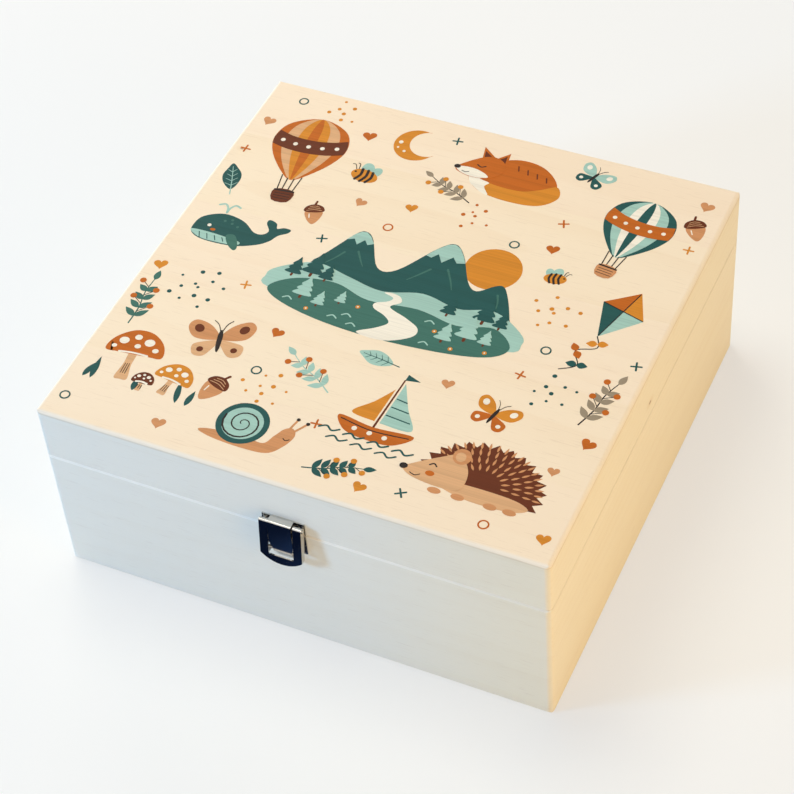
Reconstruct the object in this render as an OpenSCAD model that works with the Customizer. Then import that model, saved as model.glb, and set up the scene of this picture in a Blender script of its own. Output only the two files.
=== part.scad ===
// Keepsake box: a square pine box with a lift-up lid, two stop hinges and a toggle clasp.
// Millimetres. X runs right along the front, Y to the back and Z up, with the origin at the
// centre of the underside. The box is drawn shut and latched.

/* [Box] */
// Outer width along the front
box_w = 300; // [220:5:400]
// Outer depth, front to back
box_d = 300; // [220:5:400]
// Height of the base, up to the seam
base_h = 89.5; // [60:0.5:150]
// Height of the lid, from the seam to the top
lid_h = 36; // [26:0.5:60]
// Thickness of the side boards
wall_t = 8; // [7:0.5:12]
// Thickness of the glued top
top_t = 8; // [5:0.5:10]
// Width of each middle stave of the top, and the outer two take the rest
stave_w = 65; // [45:1:90]
// Thickness of the floor panel
floor_t = 4; // [3:0.5:6]
// Width of the rebate that the floor panel sits in
rebate_w = 4; // [2:0.5:5]
// Gap round the floor panel in its rebate
panel_play = 0.2; // [0.1:0.1:0.5]

/* [Edges] */
// Radius of the upright corners
corner_r = 3.5; // [1:0.5:6]
// Radius of the top edge
top_edge_r = 2.5; // [1:0.25:4]
// Bevel along the upper edge of the base
base_bevel = 1.2; // [0.4:0.1:2]
// Bevel along the lower edge of the lid
lid_bevel = 0.5; // [0.2:0.1:1.5]
// Bevel along the lower edge of the base
foot_bevel = 0.8; // [0.2:0.1:2]

/* [Hinges] */
// Distance of each hinge's middle from the side of the box
hinge_inset = 55; // [30:1:80]
// Width of the base leaf, over its ears
hinge_w = 24; // [18:0.5:40]
// Height of each leaf, from the seam
hinge_leaf_h = 15; // [13:0.5:20]
// Thickness of the hinge metal
hinge_t = 1; // [0.8:0.1:1.2]
// Distance of the pin's axis from the back of the box
hinge_pin_out = 3; // [2.8:0.1:3.2]
// Radius of the hinge pin
hinge_pin_r = 1; // [0.8:0.05:1.1]
// Gap between the lid leaf and the ears beside it
leaf_play = 0.3; // [0.1:0.05:0.6]
// Gap between each leaf's plate and the knuckle
leaf_gap = 0.9; // [0.8:0.05:1.2]
// Length of the ears below the seam
ear_down = 12; // [8:0.5:13]
// Outer radius of the hinge knuckle
knuckle_r = 2; // [1.9:0.05:2.1]
// Outer radius of the ears round the pin
ear_r = 2.2; // [2:0.05:2.3]
// Radius of the riveted heads of the hinge pin
hinge_head_r = 1.7; // [1.3:0.1:2]
// Thickness of those heads
hinge_head_t = 0.7; // [0.4:0.1:1.2]
// Reach of the stop lip from the pin's axis
stop_reach = 3.8; // [3.6:0.1:4.5]
// Angle at which the stop lips meet the base leaves and hold the open lid
lid_open = 105; // [95:1:112]
// Angle that the stop lips leave free past that
stop_play = 0.3; // [0.2:0.1:1]

/* [Clasp] */
// Distance of the clasp to the left of the middle of the front
clasp_shift = 1.8; // [0:0.1:40]
// Thickness of the clasp metal
sheet_t = 0.8; // [0.6:0.05:0.9]
// Width of the lever
lever_w = 25; // [24.5:0.1:30]
// Length of the lever below the seam, at its middle
lever_down = 20; // [18:0.5:26]
// Depth of the lever's round lower edge
lever_sag = 5.1; // [3:0.1:5.2]
// Height of the lever above the seam
lever_up = 9.1; // [9:0.05:9.2]
// Distance of the lever's face from the box at the top
lever_top_out = 5.3; // [5.25:0.05:5.5]
// Distance of the lever's face from the box at the lower edge
lever_low_out = 8.9; // [8.7:0.1:10]
// Width of the lever's sides at their lower end
side_low_w = 3.2; // [2.5:0.1:4]
// Outer radius of the bend along the lever's shoulders
shoulder_r = 0.95; // [0.9:0.05:1.2]
// Distance of the shoulders' rear edge from the box
shoulder_back = 3.3; // [3.3:0.05:3.8]
// Distance of the lever's rivets from the box
lever_pivot_out = 3.3; // [3.2:0.05:3.4]
// Height of the lever's rivets above the seam
lever_pivot_up = 6.7; // [6.6:0.05:6.75]
// Radius of the bosses round the rivets
boss_r = 1.8; // [1.5:0.1:2]
// Radius of the base plate's ears round the rivets
plate_ear_r = 1.2; // [1:0.05:1.3]
// Gap between those ears and the strike plate behind them
ear_stand = 0.5; // [0.3:0.1:0.6]
// Width of the claw
claw_w = 13.9; // [13.8:0.1:14]
// Height of the top of the claw above the seam
claw_up = 10.4; // [10.3:0.05:11]
// Distance of the claw's face from the box at the top
claw_top_out = 6.2; // [6.1:0.05:6.3]
// Bow of the claw's face outwards
claw_bow = 0.35; // [0.1:0.05:0.4]
// Width of the claw at its knuckle
claw_low_w = 10.4; // [8:0.2:12]
// Distance below the seam at which the claw starts to narrow
claw_narrow_down = 7; // [5:0.5:9]
// Outer radius of the claw's knuckle
claw_knuckle_r = 1.5; // [1.45:0.05:1.55]
// Distance of the claw's pin from the box
claw_pin_out = 4.7; // [4.65:0.05:4.75]
// Distance of the claw's pin below the seam
claw_pin_down = 12.6; // [12.4:0.05:12.7]
// Length of the claw's hook below its inner top face
hook_drop = 1.15; // [1:0.05:1.2]
// Distance of the hook from the box
hook_out = 1.2; // [1.15:0.05:1.3]
// Radius of the claw's bend at the top of its face
claw_bend_r = 0.5; // [0.45:0.05:0.8]
// Radius of the claw's bend over its hook
hook_bend_r = 0.5; // [0.45:0.05:0.7]
// Gap between the claw and the edges of the lever's window
window_play = 0.5; // [0.3:0.1:0.8]
// Distance between the base plate's ears and the lever's sides
ear_play = 0.2; // [0.1:0.05:0.3]
// Radius of the clasp's rivets and pin
rivet_r = 0.7; // [0.5:0.05:0.8]
// Radius of their heads
rivet_head_r = 1.2; // [1:0.05:1.4]
// Thickness of their heads
rivet_head_t = 0.4; // [0.3:0.05:0.6]
// Height of the strike's upper edge above the seam
strike_up = 9.3; // [9:0.1:9.5]
// Width of the strike plate
strike_w = 25.4; // [24:0.2:28]
// Width of the strike's turned-up lip
lip_w = 13; // [8:0.5:13.4]
// Gap between the strike's plate and its lip
lip_gap = 2.8; // [2.75:0.05:2.85]
// Height of the strike's lip above the seam
lip_up = 9.3; // [9.2:0.05:9.35]
// Length of the clasp's base plate below the seam
plate_down = 15; // [13:0.5:16]
// Gap between the clasp's plates and the seam
plate_back = 0.8; // [0.4:0.1:1.2]

/* [Screws] */
// Radius of the screw heads
screw_head_r = 1.4; // [1.2:0.05:1.5]
// Height of the screw heads
screw_head_h = 0.7; // [0.5:0.05:0.8]
// Radius of the screw shanks
screw_r = 0.8; // [0.6:0.05:0.9]
// Length of the screws under the head
screw_len = 6; // [4:0.5:6.5]
// Width of the crossed slots in the heads
slot_w = 0.35; // [0.25:0.05:0.5]
// Depth of the crossed slots
slot_depth = 0.35; // [0.2:0.05:0.4]
// Distance between the two screws of a hinge leaf
hinge_screw_gap = 12; // [8:0.5:14]
// Distance of the hinge screws from the seam
hinge_screw_up = 10; // [8:0.25:11]
// Distance between the screws of the clasp's base plate
plate_screw_gap = 11; // [8:0.5:14]
// Distance of those screws below the seam
plate_screw_down = 9; // [6:0.5:11]
// Distance between the screws of the strike
strike_screw_gap = 18; // [17.2:0.1:18.2]
// Height of those screws above the seam
strike_screw_up = 5.2; // [4:0.1:7]
// Room round a shank in its hole, and round a pin in its bore
running = 0.05; // [0.03:0.01:0.09]

/* [Hidden] */

$fn = 48;
// Reach of a cutting shape past what it cuts
cut = 1;
// Depth by which shapes of one piece run into each other
seat = 0.05;
// Share of a screw head's radius that its slots reach
slot_reach = 0.7;
staves = 5;
// Number of straight steps in the bow of the claw's face
bow_steps = 8;
nickel = "lightsteelblue";
pine = "antiquewhite";
pine_top = "wheat";
plywood = "burlywood";

box_h = base_h + lid_h;
hinge_x = box_w / 2 - hinge_inset;
hinge_ear_in = hinge_w / 2 - hinge_t;
lid_leaf_w = 2 * (hinge_ear_in - leaf_play);
lever_side_in = lever_w / 2 - sheet_t;
clasp_ear_in = lever_side_in - ear_play - sheet_t;
lever_slope = (lever_low_out - lever_top_out) / (lever_up - shoulder_r + lever_down);
window_w = claw_w + 2 * window_play;
window_down = claw_pin_down + claw_knuckle_r + window_play;
tab_top = claw_pin_down - 2.5 * claw_knuckle_r;
tab_low = claw_pin_down + claw_knuckle_r;
lever_arc_r = (pow(lever_w / 2, 2) + pow(lever_sag, 2)) / (2 * lever_sag);

// Points of an arc of radius r about c, from one angle to the other
function arc(c, r, from, to, steps = 8) =
    [for (i = [0:steps]) let (a = from + (to - from) * i / steps) c + r * [cos(a), sin(a)]];
function unit(v) = v / norm(v);
// Unit normal on the left of a path at point i
function side(path, i) =
    let (v = unit(path[min(i + 1, len(path) - 1)] - path[max(i - 1, 0)])) [-v[1], v[0]];
// Points of a path moved sideways
function beside(path, off) = [for (i = [0:len(path) - 1]) path[i] + off * side(path, i)];
function reversed(path) = [for (i = [len(path) - 1:-1:0]) path[i]];

// Section of bent metal of thickness t along a path
module bent(path, t) {
    polygon(concat(beside(path, t / 2), reversed(beside(path, -t / 2))));
}

// Plan of the box, with round upright corners
module box_plan() {
    square([box_w - 2 * corner_r, box_d], center = true);
    square([box_w, box_d - 2 * corner_r], center = true);
    for (sx = [-1, 1], sy = [-1, 1])
        translate([sx * (box_w / 2 - corner_r), sy * (box_d / 2 - corner_r)]) circle(corner_r);
}

// Plan of one mitred board of a frame w wide and d deep, along its front
module mitred_plan(w, d) {
    polygon([[-w / 2, -d / 2], [w / 2, -d / 2],
             [w / 2 - wall_t, wall_t - d / 2], [wall_t - w / 2, wall_t - d / 2]]);
}

// Plan of the board on one side: 0 front, 1 right, 2 back, 3 left
module board_plan(turn) {
    intersection() {
        box_plan();
        rotate(90 * turn) mitred_plan(turn % 2 == 0 ? box_w : box_d, turn % 2 == 0 ? box_d : box_w);
    }
}

// Side view of a frame from z0 to z1, with its outer edges bevelled
module bevelled_side(span, z0, z1, low, high) {
    polygon([[-span / 2, z0 + low], [low - span / 2, z0], [span / 2 - low, z0],
             [span / 2, z0 + low], [span / 2, z1 - high], [span / 2 - high, z1],
             [high - span / 2, z1], [-span / 2, z1 - high]]);
}

// Side view of the top, with its upper edges round
module rounded_side(span, z0, z1, r) {
    translate([-span / 2, z0]) square([span, z1 - z0 - r]);
    translate([r - span / 2, z0]) square([span - 2 * r, z1 - z0]);
    for (s = [-1, 1]) translate([s * (span / 2 - r), z1 - r]) circle(r);
}

// Extrudes a side view along X or Y, over the whole box and a little more
module seen_from_side() {
    rotate([90, 0, 90]) linear_extrude(box_w + 2 * cut, center = true) children();
}
module seen_from_front() {
    rotate([90, 0, 0]) linear_extrude(box_d + 2 * cut, center = true) children();
}

// One mitred board from z0 to z1
module board(turn, z0, z1, low, high) {
    intersection() {
        translate([0, 0, z0]) linear_extrude(z1 - z0) board_plan(turn);
        if (turn % 2 == 0) seen_from_side() bevelled_side(box_d, z0, z1, low, high);
        else seen_from_front() bevelled_side(box_w, z0, z1, low, high);
    }
}

// Round-headed wood screw, with its head on the plane z = 0 and its shank below
module screw() {
    dome_r = (pow(screw_head_r, 2) + pow(screw_head_h, 2)) / (2 * screw_head_h);
    difference() {
        rotate_extrude() {
            intersection() {
                translate([0, screw_head_h - dome_r]) circle(dome_r);
                square([screw_head_r, screw_head_h]);
            }
            polygon([[0, 0], [screw_r, 0], [screw_r, screw_r - screw_len], [0, -screw_len]]);
        }
        for (a = [45, 135])
            translate([0, 0, screw_head_h - slot_depth]) rotate(a)
                translate([-slot_reach * screw_head_r, -slot_w / 2, 0])
                    cube([2 * slot_reach * screw_head_r, slot_w, cut]);
    }
}

// Places of the hinge screws on the back, above the seam for s = 1 and below it for s = -1
module at_hinge_screws(s) {
    for (sx = [-1, 1], k = [-1, 1])
        translate([sx * hinge_x + k * hinge_screw_gap / 2, box_d / 2, base_h + s * hinge_screw_up])
            rotate([-90, 0, 0]) children();
}

// Places of the clasp's screws on the front
module at_plate_screws() {
    for (k = [-1, 1])
        translate([k * plate_screw_gap / 2 - clasp_shift, -box_d / 2, base_h - plate_screw_down])
            rotate([90, 0, 0]) children();
}
module at_strike_screws() {
    for (k = [-1, 1])
        translate([k * strike_screw_gap / 2 - clasp_shift, -box_d / 2, base_h + strike_screw_up])
            rotate([90, 0, 0]) children();
}

// Hole for a screw's shank, through a metal leaf and into the wood
module pilot() {
    translate([0, 0, -screw_len - cut / 2]) cylinder(r = screw_r + running, h = screw_len + 2 * cut);
}

// Box boards
module base_board(turn) {
    color(pine) difference() {
        board(turn, 0, base_h, foot_bevel, base_bevel);
        translate([0, 0, (floor_t - cut) / 2])
            cube([box_w - 2 * wall_t + 2 * rebate_w, box_d - 2 * wall_t + 2 * rebate_w,
                  floor_t + cut], center = true);
        if (turn == 0) at_plate_screws() pilot();
        if (turn == 2) at_hinge_screws(-1) pilot();
    }
}

module base_floor_panel() {
    color(plywood) translate([0, 0, floor_t / 2])
        cube([box_w - 2 * (wall_t - rebate_w + panel_play),
              box_d - 2 * (wall_t - rebate_w + panel_play), floor_t], center = true);
}

// Lid boards
module lid_rail(turn) {
    color(pine) difference() {
        board(turn, base_h, box_h - top_t, lid_bevel, 0);
        if (turn == 0) at_strike_screws() pilot();
        if (turn == 2) at_hinge_screws(1) pilot();
    }
}

// Staves of the glued top, counted from the front
module lid_top_stave(i) {
    y0 = i == 0 ? -box_d / 2 - cut : (i - staves / 2) * stave_w;
    y1 = i == staves - 1 ? box_d / 2 + cut : (i + 1 - staves / 2) * stave_w;
    color(pine_top) intersection() {
        translate([0, 0, box_h - top_t]) linear_extrude(top_t) box_plan();
        seen_from_side() rounded_side(box_d, box_h - top_t, box_h, top_edge_r);
        seen_from_front() rounded_side(box_w, box_h - top_t, box_h, top_edge_r);
        translate([-box_w / 2 - cut, y0, box_h - top_t - cut])
            cube([box_w + 2 * cut, y1 - y0, top_t + 2 * cut]);
    }
}

// Hinges. Their sections have the pin's axis at the origin, with X pointing away from the box.
wood_face = -hinge_pin_out;
leaf_face = hinge_t - hinge_pin_out;
leaf_clear = knuckle_r + leaf_gap;
// The stop lip's angle below level, at which its corner meets the base leaf when the lid is open
stop_corner = [stop_reach, hinge_t / 2];
stop_drop = acos(leaf_face / norm(stop_corner)) - atan2(stop_corner[1], stop_corner[0])
    - lid_open - stop_play;

module at_hinge(s) {
    translate([s * hinge_x, box_d / 2 + hinge_pin_out, base_h]) rotate([90, 0, 90]) children();
}

module hinge_base_leaf(s) {
    color(nickel) difference() {
        at_hinge(s) {
            translate([0, 0, -hinge_w / 2]) linear_extrude(hinge_w)
                translate([wood_face, -hinge_leaf_h]) square([hinge_t, hinge_leaf_h - leaf_clear]);
            for (k = [-1, 1]) translate([0, 0, k * (hinge_w - hinge_t) / 2])
                linear_extrude(hinge_t, center = true) difference() {
                    union() {
                        circle(ear_r);
                        polygon([[wood_face, -base_bevel], [0, 0], [ear_r - seat, 0],
                                 [leaf_face, -ear_down], [wood_face, -ear_down]]);
                    }
                    circle(hinge_pin_r + running);
                }
        }
        at_hinge_screws(-1) pilot();
    }
}

module hinge_lid_leaf(s) {
    color(nickel) difference() {
        at_hinge(s) linear_extrude(lid_leaf_w, center = true) difference() {
            union() {
                translate([wood_face, leaf_clear]) square([hinge_t, hinge_leaf_h - leaf_clear]);
                polygon([[wood_face, leaf_clear], [wood_face, hinge_t], [0, 0],
                         [0, knuckle_r - seat], [leaf_face, leaf_clear]]);
                circle(knuckle_r);
                rotate(-stop_drop) translate([0, -hinge_t / 2]) square([stop_reach, hinge_t]);
            }
            circle(hinge_pin_r + running);
        }
        at_hinge_screws(1) pilot();
    }
}

module hinge_pin(s) {
    color(nickel) at_hinge(s) {
        cylinder(r = hinge_pin_r, h = hinge_w + hinge_head_t, center = true);
        for (k = [-1, 1]) translate([0, 0, k * (hinge_w + hinge_head_t) / 2])
            cylinder(r = hinge_head_r, h = hinge_head_t, center = true);
    }
}

module hinge_screws(s) {
    color(nickel) translate([0, hinge_t, 0]) at_hinge_screws(s) screw();
}

// Clasp. Its sections have X pointing away from the box and Y up, from the seam on the front.
module at_clasp() {
    translate([-clasp_shift, -box_d / 2, base_h]) rotate([90, 0, -90]) children();
}
// Extrudes a section of the clasp over a width, at a place across the clasp
module across(width, at = 0) {
    translate([0, 0, at]) linear_extrude(width, center = true) children();
}
lever_pivot = [lever_pivot_out, lever_pivot_up];
claw_pivot = [claw_pin_out, -claw_pin_down];

module clasp_base_plate() {
    ear_in = sheet_t + ear_stand;
    ear_out = lever_pivot_out + plate_ear_r;
    ear_low = sheet_t - plate_down;
    color(nickel) difference() {
        at_clasp() {
            across(lever_w) translate([0, -plate_down]) square([sheet_t, plate_down - plate_back]);
            for (k = [-1, 1]) across(sheet_t, k * (clasp_ear_in + sheet_t / 2)) difference() {
                union() {
                    translate(lever_pivot) circle(plate_ear_r);
                    polygon([[0, ear_low], [0, -plate_back], [ear_in, -plate_back],
                             [ear_in, lever_pivot_up - plate_ear_r], lever_pivot,
                             [ear_out - seat, lever_pivot_up], [ear_out - seat, -sheet_t],
                             [ear_in, ear_low]]);
                }
                translate(lever_pivot) circle(rivet_r + running);
            }
        }
        at_plate_screws() pilot();
    }
}

module clasp_base_screws() {
    color(nickel) translate([0, -sheet_t, 0]) at_plate_screws() screw();
}

// Rivets on both sides, each through an ear and a side of the lever
module clasp_lever_rivets() {
    length = 2 * sheet_t + ear_play;
    color(nickel) at_clasp() for (k = [-1, 1])
        translate([lever_pivot_out, lever_pivot_up, k * (clasp_ear_in + length / 2)]) {
            cylinder(r = rivet_r, h = length + rivet_head_t, center = true);
            for (e = [-1, 1]) translate([0, 0, e * (length + rivet_head_t) / 2])
                cylinder(r = rivet_head_r, h = rivet_head_t, center = true);
        }
}

// Front view of the lever: a plate with a round lower edge and an open window for the claw
module lever_front() {
    corner_down = lever_down - lever_sag;
    difference() {
        union() {
            translate([-lever_w / 2, -corner_down]) square([lever_w, corner_down + lever_up + cut]);
            intersection() {
                translate([0, lever_arc_r - lever_down]) circle(lever_arc_r, $fn = 96);
                translate([-lever_w / 2, -lever_down - cut]) square([lever_w, lever_sag + 2 * cut]);
            }
        }
        translate([-window_w / 2, -window_down]) square([window_w, window_down + lever_up + 2 * cut]);
    }
}

module clasp_lever() {
    bend_r = shoulder_r - sheet_t / 2;
    bend_at = [lever_top_out - shoulder_r, lever_up - shoulder_r];
    low_point = [lever_low_out - sheet_t / 2, -lever_down - cut];
    face_path = concat([[shoulder_back, lever_up - sheet_t / 2]], arc(bend_at, bend_r, 90, 0),
                       [low_point]);
    side_low = lever_down - lever_sag;
    side_back = lever_face_at(-side_low) - side_low_w;
    color(nickel) at_clasp() {
        intersection() {
            across(lever_w) bent(face_path, sheet_t);
            rotate([0, 90, 0]) translate([0, 0, -cut]) linear_extrude(lever_low_out + 3 * cut)
                lever_front();
        }
        for (k = [-1, 1]) across(sheet_t, k * (lever_w - sheet_t) / 2) difference() {
            union() {
                translate(lever_pivot) circle(boss_r);
                polygon([[lever_pivot_out - boss_r, lever_pivot_up], [side_back, -side_low],
                         [lever_face_at(-side_low) - sheet_t / 2, -side_low],
                         [lever_face_at(bend_at[1]) - sheet_t / 2, bend_at[1]],
                         [bend_at[0], lever_up - sheet_t / 2],
                         [shoulder_back, lever_up - sheet_t / 2]]);
            }
            translate(lever_pivot) circle(rivet_r + running);
        }
        // Tabs turned back beside the window, which hold the claw's pin
        for (k = [-1, 1]) across(sheet_t, k * (window_w + sheet_t) / 2) difference() {
            union() {
                translate(claw_pivot) circle(claw_knuckle_r);
                polygon([claw_pivot + claw_knuckle_r * [-cos(60), sin(60)],
                         claw_pivot - claw_knuckle_r * [cos(60), sin(60)],
                         [lever_face_at(-tab_low) - sheet_t / 2, -tab_low],
                         [lever_face_at(-tab_top) - sheet_t / 2, -tab_top]]);
            }
            translate(claw_pivot) circle(rivet_r + running);
        }
    }
}
// Distance of the lever's face from the box at a height above the seam
function lever_face_at(h) = lever_top_out + (lever_up - shoulder_r - h) * lever_slope;

// Front view of the claw, which narrows towards its knuckle
module claw_front() {
    low = [claw_low_w / 2, -claw_pin_down];
    wide = low + 1.3 * ([claw_w / 2, -claw_narrow_down] - low);
    half = [[0, claw_up + cut], [wide[0], claw_up + cut], wide, low, [low[0], -window_down],
            [0, -window_down]];
    for (k = [0, 1]) mirror([k, 0]) polygon([for (p = half) [p[0] - (p[0] == 0 ? seat : 0), p[1]]]);
}

module clasp_claw() {
    middle_up = claw_up - sheet_t / 2;
    front_out = claw_top_out - sheet_t / 2;
    rear_out = hook_out + sheet_t / 2;
    hook_low = claw_up - sheet_t - hook_drop;
    hook_bend_at = [rear_out + hook_bend_r, middle_up - hook_bend_r];
    claw_bend_at = [front_out - claw_bend_r, middle_up - claw_bend_r];
    face_top = [front_out, claw_bend_at[1]];
    face_low = [claw_pin_out + claw_knuckle_r - sheet_t / 2 - seat, -claw_pin_down];
    face = [for (i = [1:bow_steps]) let (t = i / bow_steps)
            face_top + t * (face_low - face_top) + [4 * claw_bow * t * (1 - t), 0]];
    path = concat([[rear_out, hook_low]], arc(hook_bend_at, hook_bend_r, 180, 90, 5),
                  arc(claw_bend_at, claw_bend_r, 90, 0, 6), face);
    color(nickel) at_clasp() difference() {
        union() {
            intersection() {
                across(claw_w) bent(path, sheet_t);
                rotate([0, 90, 0]) linear_extrude(lever_low_out) claw_front();
            }
            translate(claw_pivot) cylinder(r = claw_knuckle_r, h = claw_low_w, center = true);
        }
        translate(claw_pivot) cylinder(r = rivet_r + running, h = claw_w + 2 * cut, center = true);
    }
}

module clasp_claw_pin() {
    length = window_w + 2 * sheet_t;
    color(nickel) at_clasp() translate([claw_pin_out, -claw_pin_down, 0]) {
        cylinder(r = rivet_r, h = length + rivet_head_t, center = true);
        for (e = [-1, 1]) translate([0, 0, e * (length + rivet_head_t) / 2])
            cylinder(r = rivet_head_r, h = rivet_head_t, center = true);
    }
}

// Plate on the lid, with a lip turned up in front of it for the claw
module clasp_strike() {
    bend_r = (lip_gap + sheet_t) / 2;
    bend_at = [sheet_t / 2 + bend_r, plate_back + sheet_t / 2 + bend_r];
    path = concat([[sheet_t / 2, bend_at[1] + bend_r]], arc(bend_at, bend_r, 180, 360, 12),
                  [[sheet_t / 2 + 2 * bend_r, lip_up - sheet_t / 2]]);
    color(nickel) difference() {
        at_clasp() {
            across(strike_w) translate([0, plate_back]) square([sheet_t, strike_up - plate_back]);
            across(lip_w) {
                bent(path, sheet_t);
                translate([sheet_t / 2 + 2 * bend_r, lip_up - sheet_t / 2]) circle(sheet_t / 2);
            }
        }
        at_strike_screws() pilot();
    }
}

module clasp_strike_screws() {
    color(nickel) translate([0, -sheet_t, 0]) at_strike_screws() screw();
}

base_board(0);  // base_front_board
base_board(1);  // base_right_board
base_board(2);  // base_back_board
base_board(3);  // base_left_board
base_floor_panel();
lid_rail(0);  // lid_front_rail
lid_rail(1);  // lid_right_rail
lid_rail(2);  // lid_back_rail
lid_rail(3);  // lid_left_rail
lid_top_stave(0);  // lid_top_stave_1
lid_top_stave(1);  // lid_top_stave_2
lid_top_stave(2);  // lid_top_stave_3
lid_top_stave(3);  // lid_top_stave_4
lid_top_stave(4);  // lid_top_stave_5
hinge_base_leaf(-1);  // hinge_base_leaf_left
hinge_base_leaf(1);  // hinge_base_leaf_right
hinge_lid_leaf(-1);  // hinge_lid_leaf_left
hinge_lid_leaf(1);  // hinge_lid_leaf_right
hinge_pin(-1);  // hinge_pin_left
hinge_pin(1);  // hinge_pin_right
hinge_screws(-1);  // hinge_base_screws
hinge_screws(1);  // hinge_lid_screws
clasp_base_plate();
clasp_base_screws();
clasp_lever_rivets();
clasp_lever();
clasp_claw();
clasp_claw_pin();
clasp_strike();
clasp_strike_screws();
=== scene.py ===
from math import atan2, cos, degrees, hypot, modf, pi, radians, sin, sqrt

import bmesh
import bpy
from mathutils import Matrix, Vector
from mathutils.geometry import tessellate_polygon


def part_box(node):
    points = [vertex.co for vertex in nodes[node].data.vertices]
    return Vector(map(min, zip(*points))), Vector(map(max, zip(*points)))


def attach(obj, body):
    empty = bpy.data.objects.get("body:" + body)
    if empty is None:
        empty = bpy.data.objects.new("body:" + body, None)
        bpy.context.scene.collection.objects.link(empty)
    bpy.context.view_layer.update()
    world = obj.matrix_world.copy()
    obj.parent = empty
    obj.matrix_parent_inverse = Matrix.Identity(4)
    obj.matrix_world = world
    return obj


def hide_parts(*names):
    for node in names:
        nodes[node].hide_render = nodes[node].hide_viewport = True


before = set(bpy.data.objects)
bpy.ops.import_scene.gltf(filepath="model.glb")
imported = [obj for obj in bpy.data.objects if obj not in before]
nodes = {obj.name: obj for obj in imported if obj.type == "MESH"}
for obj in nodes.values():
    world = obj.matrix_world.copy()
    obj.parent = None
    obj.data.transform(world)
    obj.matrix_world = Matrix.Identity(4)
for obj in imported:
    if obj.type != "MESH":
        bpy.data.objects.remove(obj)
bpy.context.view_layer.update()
mm = 0.001
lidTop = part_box("lid_top_stave_3")[1].z
print("stage 1: the frame is loaded,", len(nodes), "nodes")


def srgb(red, green, blue):
    steps = [channel / 255 for channel in (red, green, blue)]
    return tuple(c / 12.92 if c < 0.04045 else ((c + 0.055) / 1.055) ** 2.4 for c in steps) + (1.0,)


# An object that holds the data and stands in the scene
def inScene(name, data):
    piece = bpy.data.objects.new(name, data)
    bpy.context.scene.collection.objects.link(piece)
    return piece


# The camera stands where the photograph was taken from
cameraView = {
    "place": (0.41906, -0.79916, 1.00250),
    "right": (0.90956, 0.41094, -0.06191),
    "up": (-0.26175, 0.68220, 0.68270),
    "back": (0.32279, -0.60475, 0.72807),
    "lens": 101.67,
    "sensor": 36,
    "near": 0.02,
}


def placeCamera():
    data = bpy.data.cameras.new("camera")
    data.lens, data.sensor_width = cameraView["lens"], cameraView["sensor"]
    data.clip_start = cameraView["near"]
    camera = inScene("camera", data)
    turn = Matrix((cameraView["right"], cameraView["up"], cameraView["back"])).transposed()
    camera.matrix_world = Matrix.Translation(cameraView["place"]) @ turn.to_4x4()
    bpy.context.scene.camera = camera


studio = {
    "skyColour": (1.0, 1.0, 1.0, 1.0),
    "skyStrength": 0.36,
    "seenBy": ("Camera", "Glossy", "Transmission"),
    "floorSize": 60.0,
    "floorDrop": -0.0002,
    "glow": 0.45,
    "fadeReach": (0.3, 1.5),
    "floorColour": srgb(240, 239, 236),
    # Name, place, size, power and colour of each lamp
    "lamps": (
        ("key", (-0.5, 0.25, 1.7), 0.9, 13.9, (1.0, 0.975, 0.84)),
        ("window", (-1.45, -1.15, 0.65), 0.36, 22.5, (0.27, 0.58, 1.0)),
        ("rightFill", (1.2, -0.5, 0.42), 0.55, 6.7, (1.0, 0.68, 0.26)),
        ("backFill", (-1.3, 1.5, 0.7), 0.9, 10.5, (1.0, 0.85, 0.69)),
    ),
    "aim": (0, 0, 0.08),
    "cardSize": (0.9, 0.56),
    "cardPlace": (-0.1, -0.44, 0.002),
    "cardColour": srgb(10, 18, 40),
    "cardStreak": srgb(32, 52, 88),
    "streakPace": (14.0, 3.0, 1.0),
    "streakReach": (0.42, 0.7),
}


def lightStudio():
    scene = bpy.context.scene
    scene.view_settings.view_transform = "Standard"
    world = bpy.data.worlds.new("studio")
    world.use_nodes = True
    scene.world = world
    tree = world.node_tree
    background = tree.nodes["Background"]
    background.inputs["Color"].default_value = studio["skyColour"]
    path = tree.nodes.new("ShaderNodeLightPath")
    strength = tree.nodes.new("ShaderNodeMapRange")
    strength.inputs["To Min"].default_value = studio["skyStrength"]
    seen = None
    for kind in studio["seenBy"]:
        either = tree.nodes.new("ShaderNodeMath")
        if seen:
            tree.links.new(seen, either.inputs[0])
        either.inputs[0].default_value = 0.0
        tree.links.new(path.outputs[f"Is {kind} Ray"], either.inputs[1])
        seen = either.outputs[0]
    tree.links.new(seen, strength.inputs["Value"])
    tree.links.new(strength.outputs[0], background.inputs["Strength"])
    for name, place, size, power, colour in studio["lamps"]:
        data = bpy.data.lights.new(name, "AREA")
        data.size, data.energy, data.color = size, power, colour
        light = inScene(name, data)
        light.location = place
        aim = Vector(studio["aim"]) - Vector(place)
        light.rotation_euler = aim.to_track_quat("-Z", "Y").to_euler()


# A shader socket that Python's operators work on
class Wire:
    def __init__(self, paint, socket):
        self.paint, self.socket = paint, socket

    def maths(self, operation, first, second=0.0):
        return self.paint.add("ShaderNodeMath", {"operation": operation}, {0: first, 1: second})

    def __add__(self, other):
        return self.maths("ADD", self, other)

    def __sub__(self, other):
        return self.maths("SUBTRACT", self, other)

    def __rsub__(self, other):
        return self.maths("SUBTRACT", other, self)

    def __mul__(self, other):
        return self.maths("MULTIPLY", self, other)

    def __truediv__(self, other):
        return self.maths("DIVIDE", self, other)

    def __pow__(self, other):
        return self.maths("POWER", self, other)

    def size(self):
        return self.maths("ABSOLUTE", self)

    def larger(self, other):
        return self.maths("MAXIMUM", self, other)

    __radd__ = __add__
    __rmul__ = __mul__


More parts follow.
